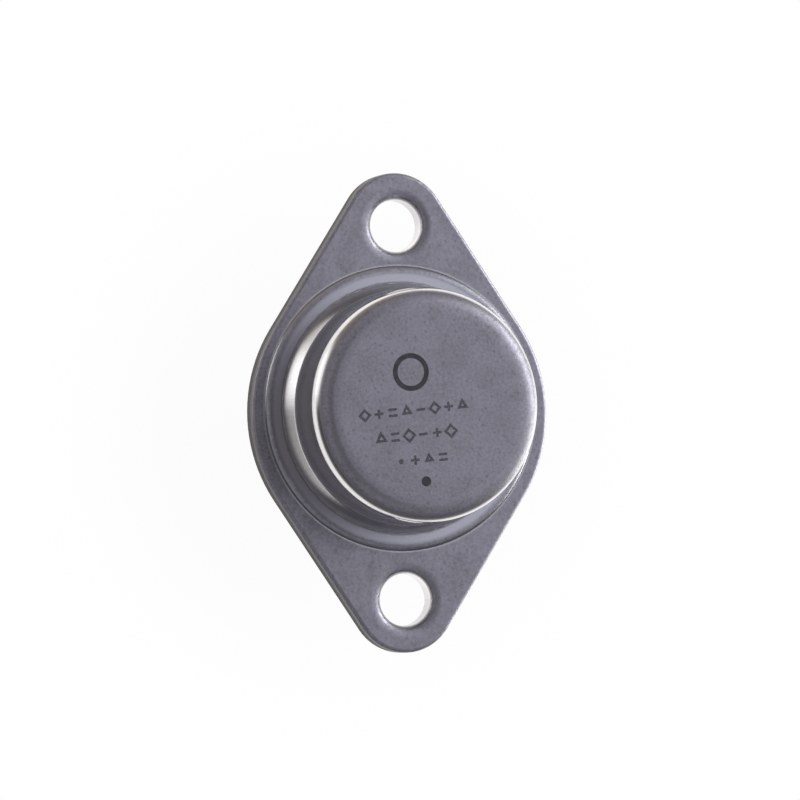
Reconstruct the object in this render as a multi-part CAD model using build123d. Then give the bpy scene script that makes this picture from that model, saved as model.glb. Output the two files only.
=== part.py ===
from build123d import *

import os
from math import atan2, degrees, hypot, tan

# Adjustable voltage regulator in a two-lead power metal can, in millimetres.
# The origin is the middle of the mounting face, halfway between the two mounting holes.
# +Z points from the mounting face to the cap's top, and +Y runs along the line of the holes.
# The leads stand out of the mounting face towards -Z.

# ---------------------------------------------------------------- base flange
flange_thickness = 1.6
mounting_hole_spacing = 30.15
mounting_hole_radius = 2.1
hole_roll_radius = 0.5  # soft upper edge that the punch leaves round each hole
hole_edge_margin = 2.15  # steel between a hole and the rounded end of the flange
side_ledge = 1.0  # flange beyond the platform's foot, at each side
flange_top_round = 0.3
flange_bottom_round = 0.12

# ------------------------------------------------- raised platform on the base
can_offset = 0.33  # platform and cap sit this far towards the +Y hole
platform_height = 0.35
platform_slope = 0.2  # how much further out the platform's foot is than its top
platform_margin = 1.25  # platform beyond the cap's foot, all round
platform_edge_round = 0.6  # the platform's rim falls away in a wide curve

# ------------------------------------------------------------------------ cap
cap_radius = 9.4  # outside of the wall
cap_wall = 0.6
cap_height = 7.05  # from the platform to the top
cap_top_round = 2.4
brim_width = 0.65  # the foot's edge stands this far out of the wall
brim_thickness = 0.15  # upright edge of the foot
brim_edge_round = 0.06
flare_height = 1.2  # the wall spreads towards the foot over this height
flare_round = 1.0  # soft turn between wall and flare

# ---------------------------------------------------------------------- leads
lead_radius = 0.5
lead_spacing = 10.92
lead_line_offset = 1.815  # leads are this far from the middle, towards the +Y hole
lead_length = 11.0  # below the mounting face
lead_tip_round = 0.15
lead_rise = 0.9  # from the platform to the underside of a lead's flattened head
lead_head_radius = 0.85
lead_head_thickness = 0.3
lead_head_round = 0.08

# ---------------------------------------------------------------- glass seals
seal_radius = 1.55
seal_recess = 0.05  # glass stands back this far from the steel, above and below
meniscus_depth = 0.12

# ----------------------------------------------------- heat spreader and chip
spreader_lead_gap = 0.5  # between a lead's head and the spreader
spreader_length = 8.6
spreader_thickness = 1.2
spreader_corner_round = 0.6
braze_thickness = 0.05
braze_margin = 0.1  # braze stands out this far round the spreader
solder_thickness = 0.06
solder_margin = 0.12
die_width = 3.2
die_length = 4.4
die_thickness = 0.38
pad_inset = 0.5  # from the die's edge to the middle of a bond

# ----------------------------------------------------------------- bond wires
power_wire_radius = 0.15
signal_wire_radius = 0.09
bond_lift = 0.02  # metal left under the wire's round at a bond
bond_foot_length = 0.75
bond_foot_flattening = 1.15  # foot's thickness, in wire radii
bond_foot_spread = 2.8  # foot's width, in wire radii
power_wire_pitch = 0.7  # between the two wires of a pair
loop_height = 0.9  # above the higher bond
loop_rise_share = 0.24  # where along the span the loop is highest
loop_shoulder_share = 0.62  # where it starts down to the second bond
loop_shoulder_drop = 0.15
case_bond_inset = 0.8  # from the spreader's edge to a bond on it
adjust_pad_offset = 1.2  # from the die's middle, towards +Y
input_pad_offset = 0.6

# ------------------------------------------------------ places that follow from these
flange_top = flange_thickness
platform_top = flange_top + platform_height
brim_radius = cap_radius + brim_width
platform_radius = brim_radius + platform_margin
platform_foot_radius = platform_radius + platform_slope
flange_side_radius = platform_foot_radius + side_ledge
flange_end_radius = mounting_hole_radius + hole_edge_margin
hole_reach = mounting_hole_spacing / 2
cap_top = platform_top + cap_height
lead_reach = lead_spacing / 2
lead_head_top = platform_top + lead_rise + lead_head_thickness
spreader_width = 2 * (lead_reach - lead_head_radius - spreader_lead_gap)
spreader_bottom = platform_top + braze_thickness
spreader_top = spreader_bottom + spreader_thickness
die_bottom = spreader_top + solder_thickness
die_top = die_bottom + die_thickness
cutter_overshoot = 1.0  # how far a cutting tool runs past the face it cuts


def turned(corners):
    """A solid turned about +Z from (radius, height, corner rounding) points."""
    points = [(radius, height) for radius, height, _ in corners]
    rounds = [rounding for _, _, rounding in corners]
    outline = FilletPolyline(*points, radius=rounds, close=True)
    return revolve(Plane.XZ * make_face(outline), Axis.Z)


def rhombic_plate():
    """The flange blank: a large circle and two small ones, wrapped by straight sides."""
    ends = [Pos(0, side * hole_reach) * Circle(flange_end_radius) for side in (-1, 1)]
    circles = [Circle(flange_side_radius), *ends]
    plan = make_hull([edge for circle in circles for edge in circle.edges()])
    plate = extrude(plan, flange_thickness)
    top_edges = plate.faces().sort_by(Axis.Z)[-1].edges()
    plate = fillet(top_edges, flange_top_round)
    bottom_edges = plate.faces().sort_by(Axis.Z)[0].edges()
    return fillet(bottom_edges, flange_bottom_round)


def platform():
    """The raised round seat of the cap, from inside the flange up to its own flat top."""
    middle = flange_thickness / 2
    return turned(
        [
            (0, middle, 0),
            (platform_foot_radius, middle, 0),
            (platform_foot_radius, flange_top, 0),
            (platform_radius, platform_top, platform_edge_round),
            (0, platform_top, 0),
        ]
    )


def hole_punch():
    """Cuts a mounting hole and its rolled upper edge."""
    flare = mounting_hole_radius + 2 * hole_roll_radius
    return turned(
        [
            (0, -cutter_overshoot, 0),
            (mounting_hole_radius, -cutter_overshoot, 0),
            (mounting_hole_radius, flange_top, hole_roll_radius),
            (flare, flange_top, 0),
            (flare, flange_top + cutter_overshoot, 0),
            (0, flange_top + cutter_overshoot, 0),
        ]
    )


def seal_drill():
    """Cuts the hole that a glass seal fills."""
    height = platform_top + 2 * cutter_overshoot
    return Pos(0, 0, platform_top / 2) * Cylinder(seal_radius, height)


def base_flange():
    """Rhombic base with its platform, two mounting holes and two seal holes."""
    base = rhombic_plate() + Pos(0, can_offset) * platform()
    for side in (-1, 1):
        base -= Pos(0, side * hole_reach) * hole_punch()
        base -= Pos(side * lead_reach, lead_line_offset) * seal_drill()
    return base


def cap():
    """Drawn cap: welded foot, flared skirt, straight wall, rounded shoulder and flat top."""
    inner_radius = cap_radius - cap_wall
    brim_top = platform_top + brim_thickness
    shell = turned(
        [
            (inner_radius, platform_top + flare_height, flare_round),
            (brim_radius - cap_wall, platform_top, 0),
            (brim_radius, platform_top, 0),
            (brim_radius, brim_top, brim_edge_round),
            (cap_radius, brim_top + flare_height, flare_round),
            (cap_radius, cap_top, cap_top_round),
            (0, cap_top, 0),
            (0, cap_top - cap_wall, 0),
            (inner_radius, cap_top - cap_wall, max(cap_top_round - cap_wall, 0)),
        ]
    )
    return Pos(0, can_offset) * shell


def lead():
    """Round lead with a rounded tip and a flattened head inside the can."""
    head_bottom = lead_head_top - lead_head_thickness
    return turned(
        [
            (0, -lead_length, 0),
            (lead_radius, -lead_length, lead_tip_round),
            (lead_radius, head_bottom, 0),
            (lead_head_radius, head_bottom, lead_head_round),
            (lead_head_radius, lead_head_top, lead_head_round),
            (0, lead_head_top, 0),
        ]
    )


def glass_seal():
    """Ring of glass between a lead and the base, its two faces drawn in as menisci."""
    low = seal_recess
    high = platform_top - seal_recess
    middle = (lead_radius + seal_radius) / 2
    ring = make_face(
        [
            Line((lead_radius, low), (lead_radius, high)),
            ThreePointArc((lead_radius, high), (middle, high - meniscus_depth), (seal_radius, high)),
            Line((seal_radius, high), (seal_radius, low)),
            ThreePointArc((seal_radius, low), (middle, low + meniscus_depth), (lead_radius, low)),
        ]
    )
    return revolve(Plane.XZ * ring, Axis.Z)


def slab(width, length, bottom, thickness, corner_round):
    """Flat rectangular layer centred under the cap, with rounded corners if it has any."""
    plan = Rectangle(width, length)
    if corner_round > 0:
        plan = fillet(plan.vertices(), corner_round)
    return Pos(0, can_offset, bottom) * extrude(plan, thickness)


def bend_radius(before, corner, after):
    """The largest arc that fits a corner of the wire's path, with straight wire left over."""
    run_in = hypot(corner[0] - before[0], corner[1] - before[1])
    run_out = hypot(after[0] - corner[0], after[1] - corner[1])
    heading_in = atan2(corner[1] - before[1], corner[0] - before[0])
    heading_out = atan2(after[1] - corner[1], after[0] - corner[0])
    turn = abs(heading_out - heading_in)
    return 0.45 * min(run_in, run_out) / tan(turn / 2)


def bond_foot(wire_radius):
    """The flattened end of a wire, pressed onto its pad, with the wire's centre over it."""
    thickness = bond_foot_flattening * wire_radius
    width = bond_foot_spread * wire_radius
    plan = fillet(Rectangle(bond_foot_length, width).vertices(), 0.8 * wire_radius)
    return extrude(plan, thickness)


def bond_wire(start, end, wire_radius):
    """A looped wire between two pads, given as points on the pads' top faces."""
    span = hypot(end[0] - start[0], end[1] - start[1])
    heading = degrees(atan2(end[1] - start[1], end[0] - start[0]))
    centre_lift = wire_radius + bond_lift
    peak = max(start[2], end[2]) + loop_height
    route = [
        (0, start[2] + centre_lift),
        (loop_rise_share * span, peak),
        (loop_shoulder_share * span, peak - loop_shoulder_drop),
        (span, end[2] + centre_lift),
    ]
    bends = [bend_radius(*route[place : place + 3]) for place in range(2)]
    path = Plane.XZ * FilletPolyline(*route, radius=bends)
    section = Plane(origin=path @ 0, z_dir=path % 0) * Circle(wire_radius)
    wire = sweep(section, path=path)
    for distance, height in ((0, start[2]), (span, end[2])):
        wire += Pos(distance, 0, height + centre_lift) * Sphere(wire_radius)
        wire += Pos(distance, 0, height) * bond_foot(wire_radius)
    return Pos(start[0], start[1]) * Rot(0, 0, heading) * wire


def bond_wires():
    """Two power wires in from the input lead, two out to the case, and the adjust wire."""
    pad_reach = die_width / 2 - pad_inset
    wires = {}
    for letter, side in (("a", 1), ("b", -1)):
        shift = side * power_wire_pitch / 2
        pad = (pad_reach, can_offset + input_pad_offset + shift, die_top)
        head = (lead_reach, lead_line_offset + shift, lead_head_top)
        wires[f"bond_wire_input_{letter}"] = bond_wire(pad, head, power_wire_radius)

        pad = (shift, can_offset - die_length / 2 + pad_inset, die_top)
        case = (shift, can_offset - spreader_length / 2 + case_bond_inset, spreader_top)
        wires[f"bond_wire_output_{letter}"] = bond_wire(pad, case, power_wire_radius)

    pad = (-pad_reach, can_offset + adjust_pad_offset, die_top)
    head = (-lead_reach, lead_line_offset, lead_head_top)
    wires["bond_wire_adjust"] = bond_wire(pad, head, signal_wire_radius)
    return wires


def at_lead(side, solid):
    """Moves what was turned about +Z to the adjust lead (side -1) or the input lead (side 1)."""
    return Pos(side * lead_reach, lead_line_offset) * solid


pieces = {
    "base_flange": base_flange(),
    "cap": cap(),
    "spreader_braze": slab(
        spreader_width + 2 * braze_margin,
        spreader_length + 2 * braze_margin,
        platform_top,
        braze_thickness,
        spreader_corner_round + braze_margin,
    ),
    "heat_spreader": slab(
        spreader_width, spreader_length, spreader_bottom, spreader_thickness, spreader_corner_round
    ),
    "die_attach_solder": slab(
        die_width + 2 * solder_margin,
        die_length + 2 * solder_margin,
        spreader_top,
        solder_thickness,
        solder_margin,
    ),
    "regulator_die": slab(die_width, die_length, die_bottom, die_thickness, 0),
    **bond_wires(),
}
for purpose, side in (("adjust", -1), ("input", 1)):
    pieces[f"lead_{purpose}"] = at_lead(side, lead())
    pieces[f"glass_seal_{purpose}"] = at_lead(side, glass_seal())

os.makedirs("parts", exist_ok=True)
for name, solid in pieces.items():
    export_step(solid, f"parts/{name}.step")
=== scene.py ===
"""Finishes, print, studio and camera for the adjustable voltage regulator."""

import logging
import math
from dataclasses import dataclass, field
from enum import Enum
from typing import Any, Sequence

import bmesh
import bpy
from mathutils import Matrix, Vector


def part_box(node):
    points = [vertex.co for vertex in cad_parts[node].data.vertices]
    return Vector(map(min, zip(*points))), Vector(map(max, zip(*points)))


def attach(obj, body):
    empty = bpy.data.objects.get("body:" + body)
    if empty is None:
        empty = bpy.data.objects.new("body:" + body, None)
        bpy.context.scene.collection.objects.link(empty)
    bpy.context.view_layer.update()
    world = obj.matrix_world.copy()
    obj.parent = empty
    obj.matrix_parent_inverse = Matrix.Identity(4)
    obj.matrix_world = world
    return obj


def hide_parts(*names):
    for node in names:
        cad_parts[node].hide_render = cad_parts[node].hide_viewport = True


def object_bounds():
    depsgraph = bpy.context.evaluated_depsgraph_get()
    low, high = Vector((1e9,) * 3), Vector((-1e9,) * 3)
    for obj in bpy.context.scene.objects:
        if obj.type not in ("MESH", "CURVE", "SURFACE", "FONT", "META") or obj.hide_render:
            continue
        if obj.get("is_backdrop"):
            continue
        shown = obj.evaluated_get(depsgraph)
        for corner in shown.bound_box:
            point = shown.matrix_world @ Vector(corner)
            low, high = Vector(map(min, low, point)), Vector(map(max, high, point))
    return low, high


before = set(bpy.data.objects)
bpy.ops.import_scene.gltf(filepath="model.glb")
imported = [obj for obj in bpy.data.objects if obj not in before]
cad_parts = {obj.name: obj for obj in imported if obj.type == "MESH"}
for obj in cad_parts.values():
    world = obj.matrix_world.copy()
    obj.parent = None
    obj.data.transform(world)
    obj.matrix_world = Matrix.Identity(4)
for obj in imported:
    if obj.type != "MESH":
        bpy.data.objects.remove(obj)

LOG = logging.getLogger("regulator")
MM = 0.001

Colour = tuple[float, float, float]
Socket = bpy.types.NodeSocket
Value = float | Socket


# ------------------------------------------------------------------ node graphs


class Graph:
    """Short hand for building shader nodes in one node tree."""

    def __init__(self, tree: bpy.types.NodeTree) -> None:
        """Args:
        tree: the material's or group's node tree to add to.
        """
        self.tree = tree

    def add(self, kind: str, **settings: Any) -> bpy.types.Node:
        """Adds a node and sets its plain properties.

        Args:
            kind: Blender's node type name.
            settings: property names and values of the node itself.

        Returns:
            The new node.
        """
        node = self.tree.nodes.new(kind)
        for name, value in settings.items():
            setattr(node, name, value)
        return node

    def feed(self, socket: Socket, value: Any) -> None:
        """Links a socket to the input, or sets the input's own value.

        Args:
            socket: the input socket.
            value: a socket, a number, or a colour or vector of three or four numbers.
        """
        if isinstance(value, bpy.types.NodeSocket):
            self.tree.links.new(value, socket)
        elif isinstance(value, (tuple, list)) and socket.type == "RGBA" and len(value) == 3:
            socket.default_value = (*value, 1.0)
        else:
            socket.default_value = value

    def math(self, operation: str, a: Value, b: Value = 0.0, c: Value = 0.0, clamp: bool = False) -> Socket:
        """A Math node.

        Args:
            operation: Blender's name of the operation.
            a: first operand.
            b: second operand.
            c: third operand, where the operation has one.
            clamp: whether the result is held between 0 and 1.

        Returns:
            The result's socket.
        """
        node = self.add("ShaderNodeMath", operation=operation, use_clamp=clamp)
        for socket, value in zip(node.inputs, (a, b, c)):
            self.feed(socket, value)
        return node.outputs[0]

    def smooth(
        self, value: Value, low: Value, high: Value, to_low: float = 0.0, to_high: float = 1.0
    ) -> Socket:
        """A smooth step of value from low to high.

        Args:
            value: what is mapped.
            low: where the step starts.
            high: where the step ends.
            to_low: result at and before low.
            to_high: result at and after high.

        Returns:
            The result's socket.
        """
        node = self.add("ShaderNodeMapRange", interpolation_type="SMOOTHSTEP", clamp=True)
        for name, number in (
            ("Value", value), ("From Min", low), ("From Max", high), ("To Min", to_low), ("To Max", to_high),
        ):
            self.feed(node.inputs[name], number)
        return node.outputs["Result"]

    def mix(self, factor: Value, a: Any, b: Any, blend: str = "MIX") -> Socket:
        """A colour mix.

        Args:
            factor: 0 gives a, 1 gives b.
            a: first colour.
            b: second colour.
            blend: Blender's blend mode.

        Returns:
            The result's socket.
        """
        node = self.add("ShaderNodeMix", data_type="RGBA", blend_type=blend)
        self.feed(node.inputs["Factor"], factor)
        self.feed(node.inputs[6], a)
        self.feed(node.inputs[7], b)
        return node.outputs[2]

    def noise(self, vector: Socket, scale: Value, detail: float = 2.0, roughness: float = 0.5) -> Socket:
        """Fractal noise from 0 to 1.

        Args:
            vector: where it is evaluated.
            scale: cells per unit of the vector.
            detail: octaves.
            roughness: weight of the finer octaves.

        Returns:
            The noise value's socket.
        """
        node = self.add("ShaderNodeTexNoise", noise_dimensions="3D")
        self.feed(node.inputs["Vector"], vector)
        self.feed(node.inputs["Scale"], scale)
        self.feed(node.inputs["Detail"], detail)
        self.feed(node.inputs["Roughness"], roughness)
        return node.outputs[0]

    def combine(self, x: Value, y: Value, z: Value) -> Socket:
        """A vector of three values."""
        node = self.add("ShaderNodeCombineXYZ")
        for socket, value in zip(node.inputs, (x, y, z)):
            self.feed(socket, value)
        return node.outputs[0]

    def split(self, vector: Socket) -> tuple[Socket, Socket, Socket]:
        """A vector's three values."""
        node = self.add("ShaderNodeSeparateXYZ")
        self.feed(node.inputs[0], vector)
        return node.outputs[0], node.outputs[1], node.outputs[2]

    def blend(self, factor: Value, a: Value, b: Value) -> Socket:
        """A mix of two numbers: factor 0 gives a, 1 gives b."""
        node = self.add("ShaderNodeMix", data_type="FLOAT")
        for socket, value in zip(node.inputs[:1] + node.inputs[2:4], (factor, a, b)):
            self.feed(socket, value)
        return node.outputs[0]

    def place(self) -> Socket:
        """Where a point is in the part's own frame, in metres."""
        return self.add("ShaderNodeTexCoord").outputs["Object"]

    def length(self, x: Value, y: Value) -> Socket:
        """The length of a flat vector."""
        squares = self.math("MULTIPLY_ADD", x, x, self.math("MULTIPLY", y, y))
        return self.math("SQRT", squares)

    def ring(self, radius: Socket, inner: float, outer: float, soft: float) -> Socket:
        """A mask that is 1 between two radii.

        Args:
            radius: the point's radius.
            inner: where the ring starts.
            outer: where it ends.
            soft: how wide its edges fade.

        Returns:
            The mask's socket.
        """
        inside = self.smooth(radius, inner - soft, inner + soft)
        outside = self.smooth(radius, outer - soft, outer + soft, 1.0, 0.0)
        return self.math("MULTIPLY", inside, outside)

    def bump(self, height: Socket, distance: float) -> Socket:
        """A Bump node.

        Args:
            height: the height, as a multiple of the distance.
            distance: what a height of 1 is, in metres.

        Returns:
            The normal's socket.
        """
        node = self.add("ShaderNodeBump")
        self.feed(node.inputs["Height"], height)
        node.inputs["Distance"].default_value = distance
        return node.outputs["Normal"]


class Effect(Enum):
    """The shared effects, each a shader node group that is built once."""

    TURNED = "turned_coordinates"
    GRAIN = "plating_grain"
    SCUFF = "handling_scuffs"
    DRAWN = "drawing_lines"
    SHEAR = "sheared_edge"


FLOAT = "NodeSocketFloat"
VECTOR = "NodeSocketVector"


def new_group(
    effect: Effect, inputs: Sequence[tuple[str, str, Any]], outputs: Sequence[tuple[str, str]]
) -> Graph:
    """Starts a shader node group with named sockets.

    Args:
        effect: which effect the group is.
        inputs: name, socket type and first value of each input.
        outputs: name and socket type of each output.

    Returns:
        The group's graph, with its input and output nodes named "in" and "out".
    """
    tree = bpy.data.node_groups.new(effect.value, "ShaderNodeTree")
    for name, kind, first in inputs:
        tree.interface.new_socket(name, in_out="INPUT", socket_type=kind).default_value = first
    for name, kind in outputs:
        tree.interface.new_socket(name, in_out="OUTPUT", socket_type=kind)
    graph = Graph(tree)
    graph.add("NodeGroupInput").name = "in"
    graph.add("NodeGroupOutput").name = "out"
    return graph


def turned_coordinates() -> Graph:
    """Radius, height and outward direction of a point about an upright axis.

    Returns:
        The group's graph: input Centre; outputs Radius and Height in metres, and Around, of length 1.
    """
    graph = new_group(
        Effect.TURNED,
        [("Centre", VECTOR, (0.0, 0.0, 0.0))],
        [("Radius", FLOAT), ("Height", FLOAT), ("Around", VECTOR)],
    )
    source, sink = graph.tree.nodes["in"], graph.tree.nodes["out"]
    offset = graph.add("ShaderNodeVectorMath", operation="SUBTRACT")
    graph.feed(offset.inputs[0], graph.place())
    graph.feed(offset.inputs[1], source.outputs["Centre"])
    x, y, z = graph.split(offset.outputs[0])
    radius = graph.length(x, y)
    safe = graph.math("MAXIMUM", radius, 1e-6)
    graph.feed(sink.inputs["Radius"], radius)
    graph.feed(sink.inputs["Height"], z)
    across, along = graph.math("DIVIDE", x, safe), graph.math("DIVIDE", y, safe)
    graph.feed(sink.inputs["Around"], graph.combine(across, along, 0.0))
    return graph


def plating_grain() -> Graph:
    """Fine speckle of a matte plated surface, with open pits and a slower cloud.

    Returns:
        The group's graph: inputs Size and Cloud Size in metres; outputs Speckle, Cloud, Pits and Height.
    """
    graph = new_group(
        Effect.GRAIN,
        [("Size", FLOAT, 0.0002), ("Cloud Size", FLOAT, 0.002)],
        [("Speckle", FLOAT), ("Cloud", FLOAT), ("Pits", FLOAT), ("Height", FLOAT)],
    )
    source, sink = graph.tree.nodes["in"], graph.tree.nodes["out"]
    place = graph.place()
    density = graph.math("DIVIDE", 1.0, source.outputs["Size"])
    fine = graph.noise(place, density, 3.0, 0.7)
    cloud = graph.noise(place, graph.math("DIVIDE", 1.0, source.outputs["Cloud Size"]), 4.0, 0.6)
    cells = graph.add("ShaderNodeTexVoronoi", feature="F1")
    graph.feed(cells.inputs["Vector"], place)
    graph.feed(cells.inputs["Scale"], graph.math("MULTIPLY", density, 0.45))
    pits = graph.smooth(cells.outputs["Distance"], 0.12, 0.30, 1.0, 0.0)
    rise = graph.math("MULTIPLY_ADD", pits, -0.5, fine)
    graph.feed(sink.inputs["Speckle"], graph.smooth(fine, 0.28, 0.72))
    graph.feed(sink.inputs["Cloud"], graph.smooth(cloud, 0.32, 0.68))
    graph.feed(sink.inputs["Pits"], pits)
    graph.feed(sink.inputs["Height"], rise)
    return graph


def handling_scuffs() -> Graph:
    """Sparse hair scratches in two directions.

    Returns:
        The group's graph: input Width in metres, of a scratch; outputs Mask and Height.
    """
    graph = new_group(Effect.SCUFF, [("Width", FLOAT, 0.00004)], [("Mask", FLOAT), ("Height", FLOAT)])
    source, sink = graph.tree.nodes["in"], graph.tree.nodes["out"]
    place = graph.place()
    density = graph.math("DIVIDE", 1.0, source.outputs["Width"])
    masks = []
    for turn, offset in ((0.35, 0.0), (-0.9, 0.4)):
        mapping = graph.add("ShaderNodeMapping")
        graph.feed(mapping.inputs["Vector"], place)
        mapping.inputs["Rotation"].default_value = (0.0, 0.0, turn)
        mapping.inputs["Location"].default_value = (offset, offset, 0.0)
        mapping.inputs["Scale"].default_value = (1.0, 0.02, 1.0)
        line = graph.noise(mapping.outputs[0], density, 1.0, 0.4)
        patch = graph.noise(mapping.outputs[0], graph.math("MULTIPLY", density, 0.05), 2.0, 0.5)
        masks.append(graph.math("MULTIPLY", graph.smooth(line, 0.70, 0.80), graph.smooth(patch, 0.52, 0.66)))
    mask = graph.math("MAXIMUM", masks[0], masks[1])
    graph.feed(sink.inputs["Mask"], mask)
    graph.feed(sink.inputs["Height"], graph.math("SUBTRACT", 1.0, mask))
    return graph


DRAWN_RADIUS = 9.4 * MM
LINE_SQUEEZE = 0.04


def drawing_lines() -> Graph:
    """Lines that drawing leaves on a wall, running up it, with fainter rings round it.

    Returns:
        The group's graph: inputs Around, Radius and Height of the point and Width of a line, in metres;
        output Lines.
    """
    graph = new_group(
        Effect.DRAWN,
        [
            ("Around", VECTOR, (1.0, 0.0, 0.0)),
            ("Radius", FLOAT, 10 * MM),
            ("Height", FLOAT, 0.0),
            ("Width", FLOAT, 0.1 * MM),
        ],
        [("Lines", FLOAT)],
    )
    source, sink = graph.tree.nodes["in"], graph.tree.nodes["out"]
    density = graph.math("DIVIDE", 1.0, source.outputs["Width"])
    drawn_out = graph.add("ShaderNodeVectorMath", operation="MULTIPLY_ADD")
    graph.feed(drawn_out.inputs[0], source.outputs["Around"])
    drawn_out.inputs[1].default_value = (DRAWN_RADIUS, DRAWN_RADIUS, 0.0)
    height = graph.math("MULTIPLY", source.outputs["Height"], LINE_SQUEEZE)
    graph.feed(drawn_out.inputs[2], graph.combine(0.0, 0.0, height))
    upright = graph.noise(drawn_out.outputs[0], density, 3.0, 0.6)
    section = graph.combine(source.outputs["Radius"], source.outputs["Height"], 0.0)
    rings = graph.noise(section, graph.math("MULTIPLY", density, 0.6), 2.0, 0.5)
    graph.feed(sink.inputs["Lines"], graph.math("MULTIPLY_ADD", rings, 0.35, upright))
    return graph


TEAR_SWING = 0.5 * MM
TEAR_BLUR = 0.06 * MM


def sheared_edge() -> Graph:
    """The edge of punched plate: a smooth burnished band above a torn, darker one.

    Returns:
        The group's graph: inputs Height of the point and Break, the height where the torn part ends, in
        metres; outputs Torn, the mask of the torn part, and Grooves.
    """
    graph = new_group(
        Effect.SHEAR,
        [("Height", FLOAT, 0.0), ("Break", FLOAT, 0.001)],
        [("Torn", FLOAT), ("Grooves", FLOAT)],
    )
    source, sink = graph.tree.nodes["in"], graph.tree.nodes["out"]
    x, y, z = graph.split(graph.place())
    wander = graph.noise(graph.combine(x, y, 0.0), 900.0, 3.0, 0.6)
    level = graph.math("SUBTRACT", source.outputs["Break"], TEAR_SWING / 2)
    edge = graph.math("MULTIPLY_ADD", wander, TEAR_SWING, level)
    over = graph.math("SUBTRACT", source.outputs["Height"], edge)
    grooves = graph.noise(graph.combine(x, y, graph.math("MULTIPLY", z, 0.08)), 9000.0, 3.0, 0.6)
    graph.feed(sink.inputs["Torn"], graph.smooth(over, -TEAR_BLUR, TEAR_BLUR, 1.0, 0.0))
    graph.feed(sink.inputs["Grooves"], grooves)
    return graph


BUILDERS = {
    Effect.TURNED: turned_coordinates,
    Effect.GRAIN: plating_grain,
    Effect.SCUFF: handling_scuffs,
    Effect.DRAWN: drawing_lines,
    Effect.SHEAR: sheared_edge,
}


def place_effect(graph: Graph, effect: Effect, **values: Any) -> bpy.types.Node:
    """Puts a shared effect into a material, building its group the first time.

    Args:
        graph: the material's graph.
        effect: which effect.
        values: the group's inputs by name, with _ for a space.

    Returns:
        The group node, whose outputs have the group's names.
    """
    tree = bpy.data.node_groups.get(effect.value) or BUILDERS[effect]().tree
    node = graph.add("ShaderNodeGroup", node_tree=tree)
    for name, value in values.items():
        graph.feed(node.inputs[name.replace("_", " ")], value)
    return node


# ------------------------------------------------------------------------ sizes


@dataclass(frozen=True)
class Layout:
    """Where the can stands on the base, in metres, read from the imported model."""

    centre: tuple[float, float, float]
    cap_top: float
    seat: float
    foot_radius: float
    hole_offset: float

    @classmethod
    def measured(cls) -> "Layout":
        """Reads the can's place from the boxes of the cap and the base."""
        low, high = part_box("cap")
        _, base_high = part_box("base_flange")
        return cls(
            centre=((low.x + high.x) / 2, (low.y + high.y) / 2, 0.0),
            cap_top=high.z,
            seat=base_high.z,
            foot_radius=(high.x - low.x) / 2,
            hole_offset=HOLE_SPACING / 2,
        )


HOLE_SPACING = 30.15 * MM
HOLE_RADIUS = 2.1 * MM


# --------------------------------------------------------------------- finishes


def start_material(name: str) -> tuple[bpy.types.Material, Graph, bpy.types.Node]:
    """Makes an empty material with its Principled shader joined to the output.

    Args:
        name: the material's name.

    Returns:
        The material, its graph and the Principled node.
    """
    material = bpy.data.materials.new(name)
    material.use_nodes = True
    material.node_tree.nodes.clear()
    graph = Graph(material.node_tree)
    shader = graph.add("ShaderNodeBsdfPrincipled")
    output = graph.add("ShaderNodeOutputMaterial")
    graph.feed(output.inputs["Surface"], shader.outputs["BSDF"])
    return material, graph, shader


@dataclass(frozen=True)
class Tone:
    """One state of a metal surface: its colour, its darker colour and its roughness."""

    colour: Colour
    shade: Colour
    roughness: float


@dataclass
class Coat:
    """The sockets that a surface is put together from, layer over layer."""

    graph: Graph
    colour: Any
    roughness: Any
    relief: Any

    def lay(self, mask: Socket, colour: Any, roughness: Any, relief: Any) -> None:
        """Lays another state over the surface where the mask is 1.

        Args:
            mask: where, from 0 to 1.
            colour: the layer's colour.
            roughness: the layer's roughness.
            relief: the layer's height in micrometres.
        """
        self.colour = self.graph.mix(mask, self.colour, colour)
        self.roughness = self.graph.blend(mask, self.roughness, roughness)
        self.relief = self.graph.blend(mask, self.relief, relief)

    def finish(self, shader: bpy.types.Node, metallic: float = 1.0) -> None:
        """Feeds the layers to the shader.

        Args:
            shader: the Principled node.
            metallic: how metallic the whole surface is.
        """
        shader.inputs["Metallic"].default_value = metallic
        self.graph.feed(shader.inputs["Base Color"], self.colour)
        self.graph.feed(shader.inputs["Roughness"], self.roughness)
        self.graph.feed(shader.inputs["Normal"], self.graph.bump(self.relief, MICROMETRE))


MICROMETRE = 1e-6


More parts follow.
